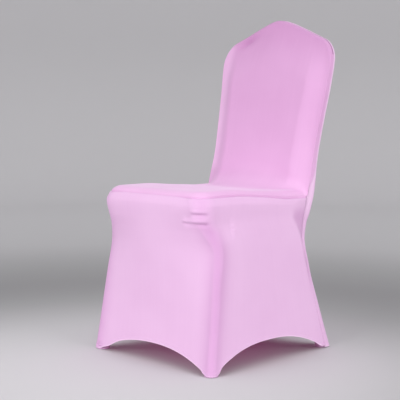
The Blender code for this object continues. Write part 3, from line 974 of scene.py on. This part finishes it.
def back_painted_light(vert):
    """Painted shade deeper towards the crown, in the seams and in the dents, and painted light on the seat
    and at one edge.
    """
    height = vert.co.z
    shade_to_crown = blended(PAINTED_SHADE_TO_CROWN[0], height) + blended(PAINTED_SHADE_TO_CROWN[1], height)
    light_on_seat = blended(PAINTED_LIGHT_ON_SEAT, height)
    light_on_edge = blended(PAINTED_LIGHT_ON_EDGE, vert.co.x) * blended(PAINTED_LIGHT_ON_EDGE_ABOVE, height)
    shade_in_dents = -DENT_SHADE * back_dent(vert)
    seams = CROWN_SEAM_SHADE * at_crown_seam(vert.co) + seat_seam_shade(vert.co)
    return shade_to_crown - light_on_seat - light_on_edge + shade_in_dents + seams


print("dented vertices:", push(bm, lambda vert: back_dent(vert) - CROWN_SEAM_DIP * at_crown_seam(vert.co)))
mark_painted_light(bm, back_painted_light)
cloth_uv(bm, lambda vert: (vert.co.x, vert.co.y + vert.co.z))
inside = finish_cloth("inside_back_and_seat_cloth", bm, back_knit, inner_knit_painted_shade)

# %% [markdown]
# ## Skirt
# It starts at the seat's seam, bulges over the cushion, is drawn in below it and leans out to the feet. At
# the corner under the cushion the spare cloth lies in two short tucks.

# %% Make the skirt
SKIRT_ROWS = CUSHION_ROWS + LEG_ROWS + HEM_ROWS
ON_SKIRT = Vector((0.02, -0.2, 0.2))
FORWARD = Vector((0, -1, 0))
REAR_SEAM_BLEND = 0.008
SKIRT_CLOTH = (0.60, 0.45)
bm, across = fine_grid(SKIRT_COLUMNS, SKIRT_ROWS, skirt_point)
face_outwards(bm, ON_SKIRT, FORWARD)
seam_height = {t: skirt_point(t, 0.0).z for t in sorted({t for t, v in across.values()})}
hem_of = {t: skirt_hem_height(t) for t in seam_height}
for vert, (t, v) in across.items():
    distance = seam_height[t] - vert.co.z
    level_out = Vector((vert.normal.x, vert.normal.y, 0.0)).normalized()
    if distance < EDGE_ROLL_REACH:
        sunk = edge_roll(distance) - seam_dip(distance) * seam_strength(vert.co)
        before_seam = smoothstep((SKIRT_LEVELS[-1].seam_y - vert.co.y) / REAR_SEAM_BLEND)
        vert.co -= (level_out + UP).normalized() * sunk * before_seam
hem_distance = {vert: vert.co.z - hem_of[t] for vert, (t, v) in across.items()}
turn_hem(bm, hem_distance)
uv_of = {vert: (t * SKIRT_CLOTH[0], v * SKIRT_CLOTH[1]) for vert, (t, v) in across.items()}
# The skirt's painted light and shade: a painted highlight on the hem's rolled edge, and painted shade on the
# leg band, in the hollow and in the seam.
HEM_PALE = 1.3
HEM_PALE_REACH = 0.0045
LEG_WIDTH = 0.030
BELOW_CUSHION = Blend(0.50, 0.40, -0.04)
HOLLOW_ROUND = Blend(0.8, RIDGE_T, 0.03)
HOLLOW_FOOT = Blend(1.0, 0.14, 0.12)
HOLLOW_HEAD = Blend(1.0, 0.415, -0.035)


def hem_pale(distance):
    """The hem's rolled edge catches the light: it reads as a pale line."""
    return HEM_PALE * (1 - smoothstep(distance / HEM_PALE_REACH))


def skirt_painted_shade(point, t):
    """Painted shade in a band on the front leg below the cushion, in the hollow before the rear leg and in
    the seam.
    """
    height = point.z
    corner = skirt_outline(between_rows(SKIRT_LEVELS, height), CORNER_T)
    leg_band_shade = bell((Vector((point.x, point.y)) - corner).length, LEG_WIDTH)
    leg_band_shade *= 1 - BELOW_CUSHION.amount + blended(BELOW_CUSHION, height)
    hollow_shade = blended(HOLLOW_ROUND, t) * blended(HOLLOW_FOOT, height) * blended(HOLLOW_HEAD, height)
    return leg_band_shade + hollow_shade + at_seam(seam_height[t] - height, point)


mark_painted_light(bm, lambda vert: skirt_painted_shade(vert.co, across[vert][0]) - hem_pale(hem_distance[vert]))
cloth_uv(bm, lambda vert: uv_of[vert])
mirror_half(bm)
face_outwards(bm, ON_SKIRT, FORWARD)
print("skirt:", len(bm.verts), "vertices")

# %% The two tucks under one front corner, and the slack below them
Tuck = namedtuple("Tuck", "start end height rise depth size")
CORNER_TUCKS = (
    Tuck(0.158, 0.206, 0.4110, -0.0010, 0.0044, 0.0044),
    Tuck(0.122, 0.205, 0.3860, -0.0010, 0.0056, 0.0054),
)
TUCK_FADE = 0.018
TUCK_FRONT_Y = -0.168
TUCK_SIDE_FADE = 0.020
TUCK_FROM_X = 0.08
TUCK_FROM_Z = 0.34
TUCK_FULLNESS = 0.8
CORNER_HOLLOW = Dent(0.205, 0.368, 0.035, 0.022, 0.0030, 0.0)
HOLLOW_FROM_X = 0.1
HOLLOW_FRONT_Y = -0.1


def tuck_relief(vert):
    """Each tuck stands out above its line and sinks below it, and fades at both ends."""
    x, y, z = vert.co
    if y > TUCK_FRONT_Y or x < TUCK_FROM_X or z < TUCK_FROM_Z:
        return 0.0
    relief = 0.0
    before_side = smoothstep((TUCK_FRONT_Y - y) / TUCK_SIDE_FADE)
    for tuck in CORNER_TUCKS:
        share = (x - tuck.start) / (tuck.end - tuck.start)
        ends = smoothstep((x - tuck.start) / TUCK_FADE) * smoothstep((tuck.end - x) / TUCK_FADE)
        over = (z - tuck.height - tuck.rise * share) / tuck.size
        relief += tuck.depth * ends * before_side * over * math.exp(0.5 - over * over / 2) * TUCK_FULLNESS
    return relief


def corner_slack(vert):
    """Spare cloth below the tucks: a shallow hollow at the corner, between the cushion and the leg."""
    if vert.co.x < HOLLOW_FROM_X or vert.co.y > HOLLOW_FRONT_Y:
        return 0.0
    return -dent_depth(CORNER_HOLLOW, vert.co)


print("corner slack:", push(bm, corner_slack))
print("tucks:", push(bm, tuck_relief))

# %% [markdown]
# The hem isn't quite even: beside one front foot it hangs lower. Round two of the feet it is gathered by
# its stitches into small puckers.

# %% Puckers at the feet
PUCKER_PITCH = 0.0045
PUCKER_HEIGHT = 0.0016
PUCKER_TOP = 0.022
PUCKER_MIDDLE = 0.011
PUCKER_BAND = 0.006
PUCKER_FADE = 0.015
PUCKER_SHADE = 1.5
LOW_HEM_FROM_Z = 0.02
LOW_HEM_FRONT_Y = -0.15
Foot = namedtuple("Foot", "x y reach")
PUCKERED_FEET = (Foot(-0.226, -0.203, 0.030), Foot(0.209, 0.262, 0.045))


def pucker(vert):
    """Small waves round a foot, just above the hem's edge, that fade away from the foot."""
    if vert.co.z > PUCKER_TOP:
        return 0.0
    relief = 0.0
    for foot in PUCKERED_FEET:
        away = math.hypot(vert.co.x - foot.x, vert.co.y - foot.y)
        round_foot = vert.co.x + vert.co.y
        waves = math.sin(2 * math.pi * round_foot / PUCKER_PITCH)
        near = smoothstep((foot.reach - away) / PUCKER_FADE)
        relief += PUCKER_HEIGHT * waves * near * bell(vert.co.z - PUCKER_MIDDLE, PUCKER_BAND)
    return relief


def lower_hem(bm, middle, width, drop, reach):
    """Lets the front hem hang lower round x = middle, less and less up to this reach above it."""
    for vert in bm.verts:
        if vert.co.y < LOW_HEM_FRONT_Y and vert.co.x < 0:
            above = 1 - smoothstep((vert.co.z - LOW_HEM_FROM_Z) / reach)
            vert.co.z -= drop * bell(vert.co.x - middle, width) * above


lower_hem(bm, middle=-0.182, width=0.030, drop=0.0075, reach=0.07)
print("puckers:", push(bm, pucker))
# Painted shade and light that follow the puckers' waves.
layer = bm.verts.layers.float[PAINTED_LIGHT_LAYER]
for vert in bm.verts:
    vert[layer] += PUCKER_SHADE * pucker(vert) / PUCKER_HEIGHT
skirt = finish_cloth("skirt_cloth", bm, skirt_knit, inner_knit_painted_shade)

# %% [markdown]
# ## Outside back
# The flat of the panel, and its edges carried forward round the padding to the seam, one ring of faces at a
# time.

# %% Make the outside back
ON_OUTSIDE = Vector((0.02, 0.27, 0.65))
BACKWARD = Vector((0, 1, 0))
# Below the seat the outside back's tone goes deeper, from the pale rim colour towards the skirt's deep tone.
DEEPER_BELOW_SEAT = Blend(0.35, 0.42, -0.05)
bm, across = fine_grid(REAR_COLUMNS, HEM_ROWS + REAR_ROWS, rear_point)
edge_ring = {vert: place for vert, place in across.items() if 1.0 in place}
edges = border_edges(bm, edge_ring)
turns = tuple(math.radians(angle) for angle in range(10, 100, 10)) + (None,)
across.update(carry_edges(bm, edge_ring, edges, turns, edge_point))
face_outwards(bm, ON_OUTSIDE, BACKWARD)
hem_distance = {}
for vert, (t, v) in across.items():
    hem_distance[vert] = vert.co.z - rear_hem_height(REAR_LEVELS[0].corner_x * math.sin(t * math.pi / 2))
turn_hem(bm, hem_distance)
mark_painted_light(bm, lambda vert: blended(DEEPER_BELOW_SEAT, vert.co.z) - hem_pale(hem_distance[vert]))
mirror_half(bm)
face_outwards(bm, ON_OUTSIDE, BACKWARD)
cloth_uv(bm, lambda vert: (vert.co.x, vert.co.z))
outside = finish_cloth("outside_back_cloth", bm, outside_knit_painted_sheen, inner_knit_painted_shade)

# %% [markdown]
# ## Foot pockets
# Each foot of the chair stands in a small pocket with a flat sole, which holds the hem down.

# %% Make the foot pockets
POCKET_SIDES = 48
# The whole pocket gets painted shade, for the sole's shade at the floor.
POCKET_PAINTED_SHADE = 0.5


def foot_middle(side, rear, height):
    """The middle of a foot pocket at this height: it leans as its leg does."""
    if rear:
        level = between_rows(REAR_LEVELS, height)
        return Vector((side * (level.corner_x - FOOT_ROUND), level.corner_y - FOOT_ROUND))
    level = between_rows(SKIRT_LEVELS, height)
    return Vector((side * (level.corner_x - FOOT_ROUND), level.corner_y + FOOT_ROUND))


def foot_pocket(end, side_name, side):
    bm = bmesh.new()
    bmesh.ops.create_circle(bm, cap_ends=True, radius=SOLE_RADIUS - CLOTH, segments=POCKET_SIDES)
    bmesh.ops.inset_region(bm, faces=bm.faces[:], thickness=SOLE_RADIUS / 3)
    rim = [edge for edge in bm.edges if edge.is_boundary]
    rings = (
        (SOLE_RADIUS, CLOTH),
        (SOLE_RADIUS, SOLE_RIM_HEIGHT),
        (POCKET_RADIUS, SOLE_RIM_HEIGHT),
        (POCKET_RADIUS, POCKET_HEIGHT),
    )
    for radius, height in rings:
        made = bmesh.ops.extrude_edge_only(bm, edges=rim)["geom"]
        rim = [item for item in made if isinstance(item, bmesh.types.BMEdge) and item.is_boundary]
        for vert in {vert for edge in rim for vert in edge.verts}:
            flat = Vector((vert.co.x, vert.co.y, 0.0)).normalized() * radius
            vert.co = Vector((flat.x, flat.y, height))
    for vert in bm.verts:
        middle = foot_middle(side, end == "rear", vert.co.z)
        vert.co.x += middle.x
        vert.co.y += middle.y
    face_outwards(bm, foot_middle(side, end == "rear", 0.0).to_3d(), -UP)
    mark_painted_light(bm, lambda vert: POCKET_PAINTED_SHADE)
    cloth_uv(bm, lambda vert: (vert.co.x, vert.co.y + vert.co.z))
    return finish_cloth(f"pocket_{end}_{side_name}_cloth", bm, skirt_knit, inner_knit_painted_shade)


pockets = {
    f"foot_pocket_{end}_{side_name}": foot_pocket(end, side_name, side)
    for end in ("front", "rear")
    for side_name, side in (("left", -1), ("right", 1))
}

# %% [markdown]
# ## Tying the cloth to the frame
# Each piece rides on the one body and stands for its imported node, which is hidden.

for piece, node, flat, area in (
    (inside, "inside_back_and_seat", (0.42, 0.95), 0.34),
    (skirt, "skirt", (1.16, 0.45), 0.47),
    (outside, "outside_back", (0.48, 0.95), 0.38),
):
    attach(piece, "root")
    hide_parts(node)
for node, pocket in pockets.items():
    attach(pocket, "root")
    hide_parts(node)
print("pieces:", 3 + len(pockets))

# %% [markdown]
# ## The studio
# A seamless grey sweep: a wide round floor that turns up into a wall all round, so that it looks much the
# same from every side. Painted light and shade in its colour go by the distance from a point a little before
# the chair: a painted pool of light near it, then a painted darker band, and a paler wall.

# %% The sweep
FLOOR_Z = -CROWN_HOLD.z
SWEEP_MIDDLE_Y = -0.55
SWEEP_RADIUS = 4.6
SWEEP_TURN = 1.2
SWEEP_HEIGHT = 3.4
SWEEP_SIDES = 96
SWEEP_RINGS = (0.6, 1.2, 2.0, 3.0, SWEEP_RADIUS)
SWEEP_TURN_STEPS = 12
SWEEP_ROUGHNESS = 0.85
SWEEP_GREEN = 0.985
# The sweep's painted light and shade: how far from its middle, as a share of the reach below, and how bright
SWEEP_PAINTED_LIGHT_REACH = 6.0
SWEEP_PAINTED_LIGHT = (
    (0.0, 0.66),
    (0.085, 0.64),
    (0.160, 0.33),
    (0.25, 0.25),
    (0.42, 0.53),
    (0.75, 0.59),
    (1.0, 0.61),
)


def sweep_material():
    material = bpy.data.materials.new("studio_sweep")
    material.use_nodes = True
    tree = material.node_tree
    shader = tree.nodes["Principled BSDF"]
    place = tree.nodes.new("ShaderNodeTexCoord")
    reach = tree.nodes.new("ShaderNodeVectorMath")
    reach.operation = "LENGTH"
    tree.links.new(place.outputs["Object"], reach.inputs[0])
    share = maths(tree, "DIVIDE", reach.outputs["Value"], SWEEP_PAINTED_LIGHT_REACH)
    ramp = tree.nodes.new("ShaderNodeValToRGB")
    ramp.color_ramp.interpolation = "B_SPLINE"
    stops = ramp.color_ramp.elements
    while len(stops) < len(SWEEP_PAINTED_LIGHT):
        stops.new(0.5)
    for stop, (position, tone) in zip(stops, SWEEP_PAINTED_LIGHT):
        stop.position = position
        stop.color = (tone, tone * SWEEP_GREEN, tone, 1.0)
    tree.links.new(share, ramp.inputs["Fac"])
    tree.links.new(ramp.outputs["Color"], shader.inputs["Base Color"])
    shader.inputs["Roughness"].default_value = SWEEP_ROUGHNESS
    return material


def make_sweep():
    """A profile of floor, turn and wall, spun once round its own middle."""
    bm = bmesh.new()
    middle = bm.verts.new((0.0, 0.0, 0.0))
    profile = [middle]
    for reach in SWEEP_RINGS:
        profile.append(bm.verts.new((reach, 0.0, 0.0)))
    for step in range(1, SWEEP_TURN_STEPS + 1):
        angle = math.radians(90 * step / SWEEP_TURN_STEPS)
        place = (SWEEP_RADIUS + SWEEP_TURN * math.sin(angle), 0.0, SWEEP_TURN * (1 - math.cos(angle)))
        profile.append(bm.verts.new(place))
    profile.append(bm.verts.new((SWEEP_RADIUS + SWEEP_TURN, 0.0, SWEEP_HEIGHT)))
    edges = [bm.edges.new(pair) for pair in zip(profile, profile[1:])]
    bmesh.ops.spin(
        bm,
        geom=profile + edges,
        cent=(0, 0, 0),
        axis=(0, 0, 1),
        angle=2 * math.pi,
        steps=SWEEP_SIDES,
        use_merge=True,
    )
    bmesh.ops.remove_doubles(bm, verts=bm.verts, dist=0.0001)
    bmesh.ops.recalc_face_normals(bm, faces=bm.faces)
    mesh = bpy.data.meshes.new("sweep")
    bm.to_mesh(mesh)
    bm.free()
    mesh.shade_smooth()
    mesh.materials.append(sweep_material())
    sweep = bpy.data.objects.new("sweep", mesh)
    sweep.location = (0.0, SWEEP_MIDDLE_Y, FLOOR_Z)
    bpy.context.scene.collection.objects.link(sweep)
    return sweep


make_sweep()

# %% [markdown]
# Two big round soft lamps stand at the height of the crown, one before the chair and one at its side, in an
# even light from all round. A small faint lamp inside the cover stands for light that has come through the
# cloth. A long lens looks at the chair's front corner from a little above the seat.

# %% Lamps
AMBIENT = (0.80, 0.80, 0.82, 1.0)
AMBIENT_STRENGTH = 1.15
Lamp = namedtuple("Lamp", "name place target size power")
LAMPS = (
    Lamp("front_lamp", (0.4, -3.2, 0.0), (0.0, 0.0, -0.5), 1.8, 37),
    Lamp("side_lamp", (3.3, -0.3, 0.0), (0.0, 0.0, -0.5), 1.8, 40),
    Lamp("through_cloth", (0.0, -0.29, -0.58), (0.0, -0.29, -0.9), 0.24, 0.17),
)
THROUGH_CLOTH_COLOUR = (1.0, 0.05, 0.55)


def soft_lamp(plan):
    data = bpy.data.lights.new(plan.name, "AREA")
    data.shape = "DISK"
    data.size = plan.size
    data.energy = plan.power
    lamp = bpy.data.objects.new(plan.name, data)
    lamp.location = plan.place
    lamp.rotation_euler = (Vector(plan.target) - Vector(plan.place)).to_track_quat("-Z", "Y").to_euler()
    lamp.visible_camera = False
    bpy.context.scene.collection.objects.link(lamp)
    return lamp


world = bpy.data.worlds.new("studio")
bpy.context.scene.world = world
world.use_nodes = True
world.node_tree.nodes["Background"].inputs["Color"].default_value = AMBIENT
world.node_tree.nodes["Background"].inputs["Strength"].default_value = AMBIENT_STRENGTH
bpy.context.scene.view_settings.view_transform = "Standard"
lamps = [soft_lamp(plan) for plan in LAMPS]
lamps[-1].data.color = THROUGH_CLOTH_COLOUR
print("lamps:", ", ".join(lamp.name for lamp in lamps))

# %% Camera
CAMERA_PLACE = Vector((2.0957, -1.9945, 0.673))
CAMERA_PITCH = 4.95
CAMERA_YAW = 46.73
LENS = 94.4
SENSOR = 36.0
camera_data = bpy.data.cameras.new("camera")
camera_data.lens = LENS
camera_data.sensor_width = SENSOR
camera = bpy.data.objects.new("camera", camera_data)
camera.location = CAMERA_PLACE - CROWN_HOLD
camera.rotation_euler = (math.radians(90 - CAMERA_PITCH), 0.0, math.radians(CAMERA_YAW))
bpy.context.scene.collection.objects.link(camera)
bpy.context.scene.camera = camera
